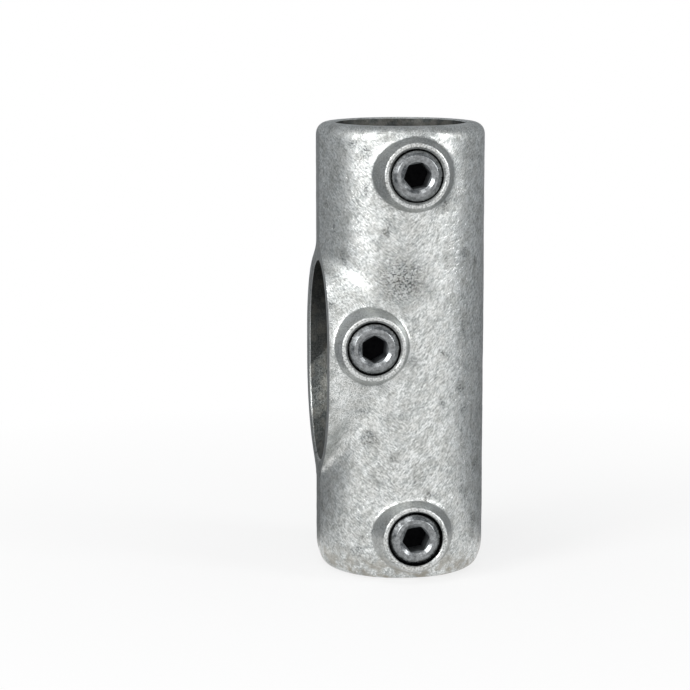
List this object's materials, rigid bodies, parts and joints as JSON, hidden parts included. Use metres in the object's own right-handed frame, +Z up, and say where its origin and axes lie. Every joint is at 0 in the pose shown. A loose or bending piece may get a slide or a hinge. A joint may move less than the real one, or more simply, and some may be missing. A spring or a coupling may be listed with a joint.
{
  "type": "tube clamp tee fitting",
  "caption": "Cast sleeve that joins a sloping brace tube to the ends of an upright, each tube held by a hexagon socket set screw in its boss.",
  "frame": {"origin": "on the axis of the sleeve's bore, in the plane of its lower end, which it stands on", "axes": "+Z up along the bore to the upper end; -Y out of the three screw bosses; -X out of the mouth of the brace's collar"},
  "size_m": [0.0564, 0.062, 0.1506],
  "materials": {
    "galvanised_iron": "hot-dip galvanised, fine matt mottle with bright edges",
    "set_screw_steel": "bright zinc-plated steel, turned"
  },
  "bodies": {
    "casting": {"casting": "galvanised_iron"},
    "upper_screw": {"upper_set_screw": "set_screw_steel"},
    "brace_screw": {"brace_set_screw": "set_screw_steel"},
    "lower_screw": {"lower_set_screw": "set_screw_steel"}
  },
  "joints": [
    {"name": "upper_screw_travel", "type": "slide", "parent": "casting", "child": "upper_screw", "axis": [0, 1, 0], "range_m": [-0.005, 0.003]},
    {"name": "brace_screw_travel", "type": "slide", "parent": "casting", "child": "brace_screw", "axis": [0, 1, 0], "range_m": [-0.005, 0.003]},
    {"name": "lower_screw_travel", "type": "slide", "parent": "casting", "child": "lower_screw", "axis": [0, 1, 0], "range_m": [-0.005, 0.003]}
  ]
}
